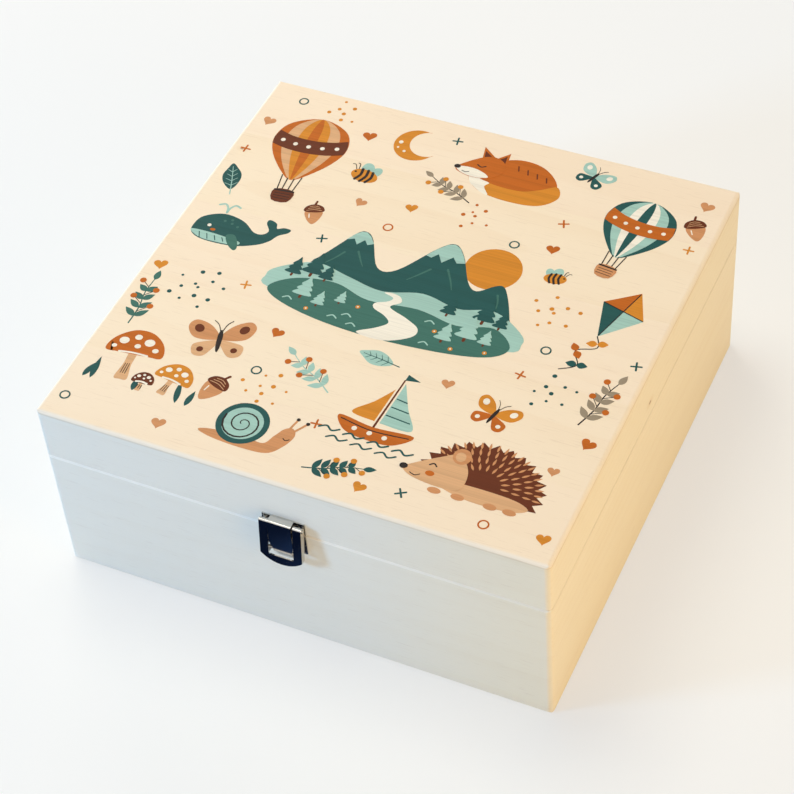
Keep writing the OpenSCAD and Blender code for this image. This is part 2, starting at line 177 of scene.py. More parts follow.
# A material under construction
class Paint:
    def __init__(self, name):
        self.material = bpy.data.materials.new(name)
        self.material.use_nodes = True
        self.tree = self.material.node_tree
        self.tree.nodes.clear()

    def add(self, kind, settings, sockets, output=0):
        node = self.tree.nodes.new(kind)
        for key, value in settings.items():
            if key == "stops":
                while len(node.color_ramp.elements) < len(value):
                    node.color_ramp.elements.new(0.5)
                for element, (place, colour) in zip(node.color_ramp.elements, value):
                    element.position, element.color = place, colour
            else:
                setattr(node, key, value)
        for key, value in sockets.items():
            if isinstance(value, Wire):
                self.tree.links.new(value.socket, node.inputs[key])
            else:
                node.inputs[key].default_value = value
        return Wire(self, node.outputs[output]) if len(node.outputs) else None

    def mix(self, factor, first, second, way="MIX"):
        settings = {"data_type": "RGBA", "blend_type": way}
        return self.add("ShaderNodeMix", settings, {0: factor, 6: first, 7: second}, output=2)

    def noise(self, place, scale, detail=2.0):
        return self.add("ShaderNodeTexNoise", {}, {"Vector": place, "Scale": scale, "Detail": detail})

    def smooth(self, value, low, high):
        settings = {"interpolation_type": "SMOOTHSTEP"}
        return self.add("ShaderNodeMapRange", settings, {"Value": value, "From Min": low, "From Max": high})

    def bump(self, relief, height):
        strength, distance = relief
        return self.add("ShaderNodeBump", {}, {"Strength": strength, "Distance": distance, "Height": height})

    def finish(self, sockets):
        shader = self.add("ShaderNodeBsdfPrincipled", {}, sockets)
        self.add("ShaderNodeOutputMaterial", {}, {"Surface": shader})
        return self.material


wood = {
    "topEarly": srgb(247, 228, 198),
    "topLate": srgb(233, 202, 160),
    "sideEarly": srgb(246, 232, 203),
    "sideLate": srgb(229, 202, 157),
    # Painted cool light: the outer faces at the front, and less on the left, take these paler, cooler tones
    "coolLitEarly": srgb(238, 233, 222),
    "coolLitLate": srgb(226, 214, 195),
    "panelEarly": srgb(233, 208, 168),
    "panelLate": srgb(203, 168, 120),
    "blush": srgb(247, 224, 200),
    # Painted highlight colour, for the seam and for the top's rounded edge
    "paintedHighlight": srgb(255, 250, 240),
    "lineTone": srgb(196, 164, 124),
    "ringStep": 0.0052,
    "ringReach": (0.25, 0.93),
    "ringShow": 0.42,
    "fibreShow": 0.22,
    "fleckReach": (0.64, 0.72),
    "fleckShow": 0.10,
    "show": {"side": 0.3, "top": 0.5, "panel": 0.8},
    "toneShow": {"side": 0.62, "top": 0.34, "panel": 0.44},
    "toneMiddle": 0.45,
    "depthReach": (-0.1, 0.95),
    "blushShow": 0.6,
    "blushPace": 0.37,
    "roughness": 0.52,
    "specular": 0.3,
    # What rings and fibres add to the roughness
    "rougher": (-0.06, 0.1),
    # How far fibres stand up, and rings and flecks lie deeper, in the relief
    "heights": (0.6, 0.35, 0.5),
    # Strength and distance
    "relief": (0.35, 0.00006),
    # How often each pattern changes in a metre, along the grain and across it
    "pace": {"wander": (2.2, 9.0), "ripple": (9.0, 60.0), "fibre": (14.0, 1100.0),
             "tone": (3.0, 14.0), "fleck": (70.0, 1700.0)},
    "wander": 0.022,
    "ripple": 0.0016,
}
# Masks of the outer faces: where painted cool light and warm light fall, and the top's rounded edge that gets
# a painted highlight
faces = {
    "reach": (0.1478, 0.1490),
    "rounding": (0.1474, 0.1492),
    "edgeHighlightShow": 0.35,
    "topSide": (0.0022, 0.0012),
    "frontShow": 0.5,
    "leftCoolLight": 0.5,
    "warmReach": (0.02, 0.15),
    "warming": 0.6,
}
knot = {
    "colour": srgb(150, 98, 58),
    "stretch": 0.6,
    "heart": 0.35,
    "heartShow": 0.75,
    "halo": 3.2,
    "haloShow": 0.35,
}
# The seam's painted highlight band, where the base's top edge catches the light, and its thin lines
seam = {
    "under": (0.0874, 0.0882),
    "over": (0.0896, 0.0902),
    "coolLightShow": 0.75,
    "show": 0.2,
    # Height, half width and strength of the thin lines
    "lines": ((0.0896, 0.0005, 0.55), (lidTop - 0.0019, 0.0009, 0.3)),
    "core": 0.3,
}
# Painted shadow on the front board under the clasp, which darkens the wood seen through the lever's window
slotShade = {
    "node": "base_front_board",
    "middle": (-0.0018, 0.0705),
    "wide": (0.0052, 0.0098),
    "high": (0.0026, 0.0060),
    "colour": srgb(66, 60, 58),
    "show": 0.72,
}


# Growth rings and fibres of a board. The grain runs along one axis, and the pith lies at a place
# across it, given in the other two.
def woodFields(paint, along, seed, pith):
    coordinates = paint.add("ShaderNodeTexCoord", {}, {}, output="Object")
    split = {axis: paint.add("ShaderNodeSeparateXYZ", {}, {0: coordinates}, output=axis) for axis in "XYZ"}
    across = [axis for axis in "XYZ" if axis != along]
    lengthwise, first, second = split[along], split[across[0]], split[across[1]]

    def pattern(name, detail=2.0):
        run, cross = wood["pace"][name]
        sockets = {0: lengthwise * run + seed, 1: first * cross, 2: second * cross}
        return paint.noise(paint.add("ShaderNodeCombineXYZ", {}, sockets), 1.0, detail)

    wander, ripple = pattern("wander") - 0.5, pattern("ripple") - 0.5
    radius = ((first - pith[0]) ** 2 + (second - pith[1]) ** 2) ** 0.5
    turn = (radius + wander * wood["wander"] + ripple * wood["ripple"]) / wood["ringStep"]
    saw = paint.add("ShaderNodeMath", {"operation": "FRACT"}, {0: turn})
    slow, fast = wood["ringReach"]
    ring = paint.smooth(saw, slow, fast) * (1 - paint.smooth(saw, fast, 1.0))
    fleck = paint.smooth(pattern("fleck", 1.0), *wood["fleckReach"])
    return {"ring": ring, "fibre": pattern("fibre", 3.0), "tone": pattern("tone"), "fleck": fleck,
            "lengthwise": lengthwise, "first": first, "second": second, **split}


# The box's outer faces, and how much painted cool light they take, as a paler, cooler tone: most at the
# front's left, less at its right, where the plain warmer tone stays as painted warm light, and less on the
# left side
def outerFaces(paint, grain):
    right, back, left, front = (paint.smooth(side, *faces["reach"])
                                for side in (grain["X"], grain["Y"], grain["X"] * -1, grain["Y"] * -1))
    outer = right.larger(left).larger(back.larger(front))
    warmLight = paint.smooth(grain["X"], *faces["warmReach"]) * faces["warming"]
    return outer, (left * faces["leftCoolLight"]).larger(front * (1 - warmLight))


# Each knot is an oval at a place along and across the board
def addKnots(paint, colour, grain, tone, knots):
    for place, side, size in knots:
        run = (grain["lengthwise"] - place) * knot["stretch"]
        cross = (grain["second"] if tone == "side" else grain["first"]) - side
        gap = (run ** 2 + cross ** 2) ** 0.5
        heart = 1 - paint.smooth(gap, size * knot["heart"], size)
        halo = (1 - paint.smooth(gap, size, size * knot["halo"])) * knot["haloShow"]
        colour = paint.mix(halo, colour, wood[tone + "Late"])
        colour = paint.mix(heart * knot["heartShow"], colour, knot["colour"])
    return colour


# Painted shadow: the wood under the clasp is darkened where the clasp's shade falls, so that it shows dark
# through the lever's window
def addSlotShade(paint, colour, grain):
    across, along = ((grain[axis] - middle).size() for axis, middle in zip("XZ", slotShade["middle"]))
    slotShadeMask = (1 - paint.smooth(across, *slotShade["wide"])) * (1 - paint.smooth(along, *slotShade["high"]))
    return paint.mix(slotShadeMask * slotShade["show"], colour, slotShade["colour"])


# Painted highlight along the seam, where the base's top edge catches the light: a pale band, most on the base
# and strongest under the painted cool light, with a thin line where the lid lies on it
def addSeam(paint, colour, grain, outer, coolLight):
    under = paint.smooth(grain["Z"], *seam["under"])
    over = 1 - paint.smooth(grain["Z"], *seam["over"])
    seamHighlight = under * over * outer * (coolLight * seam["coolLightShow"] + seam["show"])
    colour = paint.mix(seamHighlight, colour, wood["paintedHighlight"])
    for middle, half, show in seam["lines"]:
        thin = 1 - paint.smooth((grain["Z"] - middle).size(), half * seam["core"], half)
        colour = paint.mix(thin * outer * show, colour, wood["lineTone"])
    return colour


def woodMaterial(node, along, seed, pith, tone, knots):
    paint = Paint(node + "_wood")
    grain = woodFields(paint, along, seed, pith)
    rings = grain["ring"] * (wood["ringShow"] * wood["show"][tone])
    depth = rings + (grain["fibre"] - 0.5) * wood["fibreShow"]
    depth = depth + (grain["tone"] - wood["toneMiddle"]) * wood["toneShow"][tone]
    depth = paint.smooth(depth, *wood["depthReach"])
    colour = paint.mix(depth, wood[tone + "Early"], wood[tone + "Late"])
    outer, coolLight = outerFaces(paint, grain)
    if tone == "top":
        blush = modf(seed * wood["blushPace"])[0] * wood["blushShow"]
        colour = paint.mix(blush, colour, wood["blush"])
        low, high = (lidTop - down for down in faces["topSide"])
        below = 1 - paint.smooth(grain["Z"], low, high)
        # Painted highlight along the top's rounded outer edge
        edgeHighlight = paint.smooth(grain["X"].size().larger(grain["Y"].size()), *faces["rounding"])
        colour = paint.mix(edgeHighlight * (1 - below) * faces["edgeHighlightShow"], colour, wood["paintedHighlight"])
        outer, coolLight = outer * below, coolLight * below
        colour = paint.mix(outer, colour, paint.mix(depth, wood["sideEarly"], wood["sideLate"]))
    # Painted cool light on the front and left outer faces
    if tone != "panel":
        front = paint.mix(depth * faces["frontShow"], wood["coolLitEarly"], wood["coolLitLate"])
        colour = paint.mix(coolLight, colour, front)
    colour = paint.mix(grain["fleck"] * wood["fleckShow"], colour, knot["colour"])
    colour = addKnots(paint, colour, grain, tone, knots)
    # Painted shadow under the clasp, on the front board only
    if node == slotShade["node"]:
        colour = addSlotShade(paint, colour, grain)
    colour = addSeam(paint, colour, grain, outer, coolLight)
    up, ringDown, fleckDown = wood["heights"]
    height = grain["fibre"] * up - grain["ring"] * ringDown - grain["fleck"] * fleckDown
    bump = paint.bump(wood["relief"], height)
    ringRough, fibreRough = wood["rougher"]
    rough = grain["ring"] * ringRough + grain["fibre"] * fibreRough + wood["roughness"]
    return paint.finish({"Base Color": colour, "Roughness": rough, "Normal": bump,
                         "Specular IOR Level": wood["specular"]})


def dress(mesh, material):
    mesh.materials.clear()
    mesh.materials.append(material)


# Every board with the axis of its grain, its seed, where its pith lies across it, and its knots
boards = {
    "base_front_board": ("X", 3.1, (0.09, -0.02), "side", ()),
    "base_right_board": ("Y", 7.4, (0.10, 0.03), "side", ()),
    "base_back_board": ("X", 11.8, (0.10, 0.12), "side", ((0.062, 0.034, 0.0030),)),
    "base_left_board": ("Y", 15.2, (-0.19, 0.07), "side", ()),
    "lid_front_rail": ("X", 4.6, (0.11, 0.16), "side", ()),
    "lid_right_rail": ("Y", 8.9, (0.12, 0.16), "side", ((-0.003, 0.0995, 0.0014),)),
    "lid_back_rail": ("X", 12.5, (0.09, 0.05), "side", ()),
    "lid_left_rail": ("Y", 16.7, (-0.11, 0.16), "side", ()),
    "lid_top_stave_1": ("X", 21.3, (-0.118, 0.02), "top", ()),
    "lid_top_stave_2": ("X", 25.9, (-0.08, 0.00), "top", ()),
    "lid_top_stave_3": ("X", 29.4, (0.012, 0.05), "top", ()),
    "lid_top_stave_4": ("X", 33.8, (0.06, 0.00), "top", ((-0.142, 0.083, 0.0010),)),
    "lid_top_stave_5": ("X", 37.7, (0.14, 0.03), "top", ()),
    "base_floor_panel": ("X", 41.2, (0.02, -0.6), "panel", ()),
}


def dressBoards():
    for node, board in boards.items():
        dress(nodes[node].data, woodMaterial(node, *board))


nickel = {
    "colour": srgb(214, 211, 205),
    "worn": srgb(188, 184, 176),
    "roughness": 0.085,
    "cloudPace": 220.0,
    "cloudReach": (0.55, 0.8),
    "scratchPace": (2500.0, 900.0, 160.0),
    "scratchReach": (0.62, 0.75),
    "wear": 0.5,
    "rougher": (0.06, 0.08),
    "relief": (0.12, 0.00001),
    "edge": 0.00012,
    "sharp": radians(40),
    "flat": radians(1.0),
    "merge": 0.000002,
    "pieces": {
        "clasp_lever": "lever", "clasp_claw": "claw", "clasp_claw_pin": "lever",
        "clasp_base_plate": "base", "clasp_strike": "lid", "clasp_lever_rivets": "base",
        "hinge_base_leaf_left": "base", "hinge_base_leaf_right": "base",
        "hinge_lid_leaf_left": "lid", "hinge_lid_leaf_right": "lid",
    },
    "plain": ("hinge_pin_left", "hinge_pin_right", "hinge_base_screws", "hinge_lid_screws",
              "clasp_base_screws", "clasp_strike_screws"),
}


def nickelMaterial():
    paint = Paint("nickel_plate")
    place = paint.add("ShaderNodeTexCoord", {}, {}, output="Object")
    cloud = paint.noise(place, nickel["cloudPace"], 3.0)
    drawn = paint.add("ShaderNodeMapping", {}, {0: place, "Scale": nickel["scratchPace"]})
    scratch = paint.noise(drawn, 1.0)
    wear = paint.smooth(cloud, *nickel["cloudReach"]) * nickel["wear"]
    colour = paint.mix(wear, nickel["colour"], nickel["worn"])
    cloudRough, scratchRough = nickel["rougher"]
    scratched = paint.smooth(scratch, *nickel["scratchReach"]) * scratchRough
    rough = cloud * cloudRough + scratched + nickel["roughness"]
    bump = paint.bump(nickel["relief"], scratch)
    return paint.finish({"Base Color": colour, "Metallic": 1.0, "Roughness": rough, "Normal": bump})


# A copy of a metal piece with its sharp edges broken, as stamped and plated sheet has them
def softened(node, body, material):
    mesh = nodes[node].data.copy()
    mesh.name = node + "_plated"
    work = bmesh.new()
    work.from_mesh(mesh)
    bmesh.ops.remove_doubles(work, verts=work.verts, dist=nickel["merge"])
    bmesh.ops.dissolve_limit(work, angle_limit=nickel["flat"], verts=work.verts, edges=work.edges)
    work.to_mesh(mesh)
    work.free()
    dress(mesh, material)
    piece = inScene(node + "_plated", mesh)
    bevel = piece.modifiers.new("brokenEdge", "BEVEL")
    bevel.width, bevel.segments, bevel.limit_method = nickel["edge"], 2, "ANGLE"
    bevel.angle_limit = nickel["sharp"]
    mesh.shade_smooth()
    flatten = piece.modifiers.new("faces", "WEIGHTED_NORMAL")
    flatten.keep_sharp = True
    asPlainMesh(piece)
    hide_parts(node)
    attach(piece, body)


# Leaves the object as its modifiers made it, with none of them on it
def asPlainMesh(piece):
    bpy.context.view_layer.update()
    graph = bpy.context.evaluated_depsgraph_get()
    mesh = bpy.data.meshes.new_from_object(piece.evaluated_get(graph))
    mesh.name = piece.name
    piece.modifiers.clear()
    piece.data = mesh


def dressMetal():
    material = nickelMaterial()
    for node, body in nickel["pieces"].items():
        softened(node, body, material)
    for node in nickel["plain"]:
        dress(nodes[node].data, material)


ink = {
    "teal": srgb(31, 82, 79), "mint": srgb(166, 203, 190), "amber": srgb(217, 138, 43),
    "rust": srgb(196, 102, 28), "brown": srgb(102, 46, 20), "tan": srgb(224, 174, 128),
    "clay": srgb(211, 147, 98), "taupe": srgb(156, 140, 118), "cream": srgb(250, 240, 222),
    "line": srgb(38, 30, 27), "moss": srgb(62, 110, 98),
}
printing = {
    "seed": 25.9,
    "pith": (-0.02, 0.02),
    "deeper": 0.86,
    "deeperReach": (0.35, 0.85),
    "rings": 0.2,
    "relief": (0.25, 0.00005),
    "roughness": 0.46,
    "rougher": 0.12,
    "specular": 0.12,
    "layer": 0.03 * mm,
}
inkMaterials = {}


# Matt ink with the wood's fibres showing faintly through it
def inkMaterial(name):
    if name not in inkMaterials:
        paint = Paint("ink_" + name)
        grain = woodFields(paint, "X", printing["seed"], printing["pith"])
        deeper = tuple(channel * printing["deeper"] for channel in ink[name][:3]) + (1.0,)
        pattern = grain["fibre"] + grain["ring"] * printing["rings"]
        through = paint.smooth(pattern, *printing["deeperReach"])
        colour = paint.mix(through, ink[name], deeper)
        bump = paint.bump(printing["relief"], grain["fibre"])
        rough = grain["fibre"] * printing["rougher"] + printing["roughness"]
        inkMaterials[name] = paint.finish({"Base Color": colour, "Roughness": rough, "Normal": bump,
                                           "Specular IOR Level": printing["specular"]})
    return inkMaterials[name]


# Outlines of the print, in millimetres
def oval(x, y, wide, high=None, turn=0, start=0, end=360, steps=40):
    high = wide if high is None else high
    count = steps if abs(end - start) < 360 else steps - 1
    points = []
    for i in range(count + 1):
        a = radians(start + (end - start) * i / steps)
        points.append((wide * cos(a), high * sin(a)))
    return moved(points, x, y, turn)


def moved(points, x=0, y=0, turn=0, size=1, flip=1):
    c, s = cos(radians(turn)), sin(radians(turn))
    return [(x + size * (flip * px * c - py * s), y + size * (flip * px * s + py * c)) for px, py in points]


def curve(points, steps=6, closed=True):
    n = len(points)
    result = []
    for i in range(n if closed else n - 1):
        around = [(i + k) % n if closed else min(max(i + k, 0), n - 1) for k in (-1, 0, 1, 2)]
        for k in range(steps):
            t = k / steps
            result.append(tuple(
                0.5 * (2 * b + (c - a) * t + (2 * a - 5 * b + 4 * c - d) * t * t
                       + (3 * b - a - 3 * c + d) * t ** 3)
                for a, b, c, d in zip(*(points[k] for k in around))))
    if not closed:
        result.append(points[-1])
    return result


# A drawn line with round ends, whose width changes towards its far end by the taper
def stroke(points, width, taper=1.0, smooth=True):
    path = curve(points, 7, closed=False) if smooth and len(points) > 2 else list(points)
    left, right = [], []
    last = len(path) - 1
    for i, (x, y) in enumerate(path):
        x0, y0 = path[max(i - 1, 0)]
        x1, y1 = path[min(i + 1, last)]
        length = hypot(x1 - x0, y1 - y0) or 1
        half = width / 2 * (1 + (taper - 1) * i / last)
        nx, ny = -(y1 - y0) / length * half, (x1 - x0) / length * half
        left.append((x + nx, y + ny))
        right.append((x - nx, y - ny))
    ends = []
    for (ax, ay), (bx, by), half in ((path[-2], path[-1], width / 2 * taper), (path[1], path[0], width / 2)):
        heading = degrees(atan2(by - ay, bx - ax))
        ends.append(oval(bx, by, half, start=heading + 75, end=heading - 75, steps=5))
    return left + ends[0] + right[::-1] + ends[1]


# A line of ink through points
def line(colour, width, *points, taper=1.0, smooth=True):
    return colour, stroke(list(points), width, taper, smooth)


def petal(x, y, length, width, turn):
    half = [(length * t / 10, width / 2 * sin(pi * (t / 10) ** 0.8)) for t in range(11)]
    return moved(half + [(px, -py) for px, py in half[-2:0:-1]], x, y, turn)


def heartShape(x, y, size, turn=0):
    points = []
    for i in range(36):
        a = 2 * pi * i / 36
        across = size * sin(a) ** 3
        along = size * (13 * cos(a) - 5 * cos(2 * a) - 2 * cos(3 * a) - cos(4 * a)) / 16
        points.append((across, along))
    return moved(points, x, y, turn)


# Adds one flat shape of ink to a mesh that is being made, from the wood up to its layer
def addInk(work, points, layer, slot):
    area = sum(x0 * y1 - x1 * y0 for (x0, y0), (x1, y1) in zip(points, points[1:] + points[:1]))
    outline = points if area > 0 else points[::-1]
    step = printing["layer"]
    low = [work.verts.new((x * mm, y * mm, lidTop - step / 2)) for x, y in outline]
    high = [work.verts.new((x * mm, y * mm, lidTop + layer * step)) for x, y in outline]
    flat = [Vector((x, y, 0)) for x, y in outline]
    for a, b, c in tessellate_polygon([flat]):
        (ax, ay), (bx, by), (cx, cy) = outline[a], outline[b], outline[c]
        if (bx - ax) * (cy - ay) - (cx - ax) * (by - ay) < 0:
            b, c = c, b
        work.faces.new((high[a], high[b], high[c])).material_index = slot
        work.faces.new((low[c], low[b], low[a])).material_index = slot
    for i in range(len(outline)):
        j = (i + 1) % len(outline)
        work.faces.new((low[i], low[j], high[j], high[i])).material_index = slot


# Where each motif lies on the lid, with its turn and size. The others are drawn in place.
layout = {
    "landscape": (-1, 13, 0, 1.04),
    "balloon_rust": (-104, 92, 5, 1.12),
    "balloon_teal": (104, 94, -7, 1.0),
    "fox": (22, 116, 0, 1.0),
    "mushrooms": (-106, -112, 0, 1.2),
    "hedgehog": (92, -108, 0, 1.2),
    "snail": (-38, -130, 0, 1.1),
    "whale": (-116, 14, 6, 0.82),
    "sailboat": (28, -86, -3, 1.0),
    "kite": (120, 30, -16, 1.04),
    "crescent": (-44, 122, 24, 1.06),
    "butterfly_tan": (-80, -66, 16, 1.02),
    "butterfly_mint": (66, 132, -22, 0.62),
    "butterfly_amber": (84, -64, -14, 0.72),
    "bee_left": (-62, 86, -8, 0.92),
    "bee_right": (76, 44, 10, 0.7),
    "sprig_left": (-137, -54, 8, 1.0),
    "sprig_front": (20, -128, -68, 0.9),
    "sprig_right": (132, -36, -12, 1.0),
    "sprig_middle": (-22, -72, 60, 0.96),
    "sprig_back": (-10, 92, 68, 0.88),
    "leaf_teal": (-136, 58, 22, 0.86),
    "leaf_mint": (8, -48, 82, 0.8),
    "acorn_left": (-76, 46, 18, 0.8),
    "acorn_front": (-66, -100, -20, 0.92),
    "acorn_back": (136, 110, 24, 0.84),
}


# A printed picture, made of shapes of ink. A shape lies one layer above the earlier ones
# that it may cover.
def printed(name, shapes, flip=1):
    x, y, turn, size = layout.get(name, (0, 0, 0, 1))
    work = bmesh.new()
    used, placed = [], []
    for colour, points in shapes:
        if colour not in used:
            used.append(colour)
        across, along = zip(*points)
        box = (min(across), min(along), max(across), max(along))
        under = [
            layer for other, layer in placed
            if box[0] < other[2] and other[0] < box[2] and box[1] < other[3] and other[1] < box[3]]
        layer = 1 + max(under, default=0)
        placed.append((box, layer))
        addInk(work, moved(points, x, y, turn, size, flip), layer, used.index(colour))
    mesh = bpy.data.meshes.new("print_" + name)
    work.to_mesh(mesh)
    work.free()
    for colour in used:
        mesh.materials.append(inkMaterial(colour))
    piece = inScene("print_" + name, mesh)
    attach(piece, "lid")


def pine(x, y, high, colour):
    wide = high * 0.34
    shapes = [line("brown", high * 0.09, (x, y), (x, y + high * 0.3))]
    for base, tip, part in ((0.16, 0.62, 1.0), (0.38, 0.82, 0.8), (0.6, 1.0, 0.58)):
        half = wide * part
        hip = (base + tip) / 2 * high
        shapes.append((colour, curve([
            (x - half, y + base * high), (x - half * 0.4, y + hip), (x, y + tip * high),
            (x + half * 0.4, y + hip), (x + half, y + base * high), (x, y + (base - 0.05) * high)], 3)))
    return shapes


def landscape():
    far = curve([
        (-64, -16), (-58, -8), (-50, 8), (-42, 25), (-37, 28), (-31, 23), (-20, 4), (-9, 6), (5, 29),
        (13, 36), (21, 29), (31, 11), (38, 6), (46, 13), (51, 14), (57, 5), (63, -8), (66, -16), (40, -22),
        (-40, -22)], 5)
    capLeft = [
        (-45.4, 18.6), (-42.2, 24.6), (-39.8, 27.2), (-37, 27.8), (-33.6, 25.6), (-29.4, 20.4),
        (-32.6, 18.4), (-35.4, 21.6), (-38.4, 16.8), (-41.4, 20.8)]
    capRight = [
        (1.2, 22.4), (5, 28.8), (9.4, 34.2), (13, 35.8), (17, 33.8), (21, 28.6), (24, 23.6), (19.4, 22.2),
        (16, 26), (11.4, 19.8), (7.4, 25.6), (4.6, 21.6)]
    middle = curve([
        (-75, -22), (-68, -12), (-52, -4), (-32, -8), (-10, -12), (12, -6), (34, -10), (52, -5), (68, -12),
        (76, -22), (60, -32), (-60, -32)])
    front = curve([
        (-70, -30), (-58, -19), (-36, -15), (-14, -21), (14, -18), (38, -22), (58, -17), (71, -27),
        (64, -37), (40, -43), (0, -46), (-34, -44), (-60, -38)])
    river = curve([
        (-8, -12.6), (-2, -14.6), (-3.4, -18), (-9.6, -21.6), (-8.6, -25.4), (-1, -28.6), (3.4, -33),
        (-1.6, -38.6), (-10, -45.2), (6, -45.9), (19, -38.6), (20, -31.6), (11, -26.4), (1.4, -23),
        (-0.6, -20.6), (3.6, -16.4), (1.4, -12.6), (-4, -11.4)], 5)
    shapes = [("amber", oval(40, 25, 16)), ("teal", far), ("mint", capLeft), ("mint", capRight)]
    for points in (
            [(-35, 12), (-31, 6), (-28, 2)], [(-42, 9), (-45, 3), (-49, -3)], [(17, 16), (22, 8), (25, 2)],
            [(8, 13), (3, 6), (-1, 1)], [(50, 7), (52, 2), (53, -3)]):
        shapes += [("moss", stroke(points, 1.3, 0.4))]
    shapes += [("mint", middle), ("moss", front), ("cream", river)]
    for x, y, high in (
            (-62, -18, 15), (-52, -15, 19), (-43, -16, 13), (30, -17, 14), (50, -16, 19), (60, -17, 13)):
        shapes += pine(x, y, high, "teal")
    for x, y, high in (
            (-50, -32, 17), (-39, -35, 12), (-28, -29, 10), (35, -36, 15), (46, -31, 19), (57, -31, 12)):
        shapes += pine(x, y, high, "mint")
    for x, y in ((-20, -36), (-27, -39.6), (-15, -41.6), (27, -40.6), (24, -25), (-56, -35)):
        shapes += [line("mint", 0.8, (x - 2.6, y), (x, y + 1.6), (x + 2.6, y))]
    for x, y in ((-17, -27.6), (-43, -38.4), (29, -30), (42, -39), (60, -35.4)):
        shapes += [("amber", oval(x, y, 1.3)), ("cream", oval(x, y, 0.5))]
    printed("landscape", shapes)


def balloon(name, gores, basket):
    shell = curve([
        (0, -22), (-7, -17), (-17, -4), (-21, 9), (-16, 22), (0, 29), (16, 22), (21, 9), (17, -4), (7, -17)])
    shapes = [(gores[0], shell)]
    for part, colour in ((0.72, gores[1]), (0.40, gores[2]), (0.14, gores[0])):
        shapes += [(colour, [(px * part, py) for px, py in shell])]
    upper = curve([(-19.6, 15), (-11, 12), (0, 10.8), (11, 12), (19.6, 15)], 4, closed=False)
    lower = curve([(20.3, 4), (11, 1.2), (0, 0.2), (-11, 1.2), (-20.3, 4)], 4, closed=False)
    shapes += [(gores[3], upper + [(20.9, 9)] + lower + [(-20.9, 9)])]
    for i in range(5):
        shapes += [("cream", oval(-15.5 + i * 7.75, 5.5 + 2.2 * ((i - 2) / 2) ** 2, 1.3))]
    for side in (-1, 1):
        for high, low, y in ((5.5, 4.2, -19), (1.8, 1.6, -21)):
            shapes += [line("line", 0.6, (side * high, y), (side * low, -31))]
    shapes += [(basket, curve([(-5.4, -30.5), (-4.4, -39), (4.4, -39), (5.4, -30.5)], 3))]
    shapes += [line("line", 1.1, (-5.2, -31), (5.2, -31))]
    for k in range(3):
        shapes += [line("line", 0.4, (-4.4, -33.4 - 1.9 * k), (4.4, -33.4 - 1.9 * k))]
    printed("balloon_" + name, shapes)


def mushroom(x, y, high, cap, capColour, turn=0):
    stem = curve([
        (-0.22 * cap, 0), (-0.14 * cap, high * 0.5), (-0.13 * cap, high), (0.13 * cap, high),
        (0.14 * cap, high * 0.5), (0.24 * cap, 0), (0, -0.05 * cap)], 5)
    hood = curve([
        (-cap, high - 1), (-0.86 * cap, high + 0.5 * cap), (-0.3 * cap, high + 0.95 * cap),
        (0.35 * cap, high + 0.93 * cap), (0.88 * cap, high + 0.48 * cap), (cap, high - 1),
        (0.5 * cap, high - 1.6), (-0.5 * cap, high - 1.6)])
    spots = [
        (-0.52, 0.42, 0.17), (-0.1, 0.66, 0.13), (0.36, 0.5, 0.18), (0.02, 0.26, 0.11), (0.68, 0.2, 0.11),
        (-0.76, 0.12, 0.09)]
    rim = line("cream", 1.0, (-0.5 * cap, high - 1.2), (0, high - 0.7), (0.5 * cap, high - 1.2))
    shapes = [("tan", stem), (capColour, hood), rim]
    for sx, sy, r in spots:
        shapes += [("cream", oval(sx * cap, high + sy * cap, r * cap, r * cap * 0.9))]
    for k in (-1, 0, 1):
        shapes += [line("line", 0.35, (k * 1.1, high * 0.18), (k * 1.0, high * 0.55))]
    return [(colour, moved(points, x, y, turn)) for colour, points in shapes]


def mushrooms():
    shapes = []
    for x, lean, tall in ((-27, -12, 10), (-23, 6, 14), (21, 14, 14), (26, -4, 10), (-1, 8, 8)):
        shapes += [("teal", petal(x, -5, tall, 3, 90 + lean))]
    shapes += mushroom(-10, 0, 17, 14, "rust", 6) + mushroom(12, -2, 10, 9.5, "amber", -8)
    shapes += mushroom(1, -4, 6, 5.4, "brown", 2)
    printed("mushrooms", shapes)


def hedgehog():
    coat = []
    for i in range(31):
        a = radians(-16 + 200 * i / 30)
        r = 1.0 if i % 2 else 1.15
        coat.append((3 + 26 * r * cos(a), -3 + 20.5 * r * sin(a)))
    coat += [(-20, -9), (-6, -12), (14, -12), (26, -10)]
    face = curve([
        (-11, 9), (-19, 5), (-31, -4.2), (-31.8, -6.6), (-26, -9.6), (-14, -11), (-4, -9.6), (-4, 1)])
    belly = curve([(-14, -9.6), (0, -13.5), (20, -13.2), (28, -9.4), (18, -6), (-8, -6)])
    shapes = [("brown", coat)]
    for reach, count in ((9, 9), (14, 13), (19, 16), (23.4, 19)):
        for i in range(count):
            a = -6 + 158 * (i + 0.5) / count
            x, y = 3 + reach * 1.04 * cos(radians(a)), -3 + reach * 0.84 * sin(radians(a))
            shapes += [("clay", petal(x, y, 4.2, 1.1, a))]
    shapes += [
        ("tan", belly), ("tan", face), ("clay", oval(-10, 8.6, 4.2, 4.6, 20)),
        ("tan", oval(-10.4, 8.2, 2.3, 2.7, 20)), ("line", oval(-32, -5.0, 1.9, 1.6)),
        line("line", 0.7, (-21.5, -0.6), (-19.8, 0.6), (-18.2, -0.6)),
        line("line", 0.5, (-28, -7.6), (-25.4, -8.4), (-23.4, -7.2)), ("rust", oval(-19.5, -5.2, 2.1, 1.5))]
    for x in (-14, -3, 12, 21):
        shapes += [("clay", oval(x, -13.4, 3.1, 1.7))]
    printed("hedgehog", shapes)


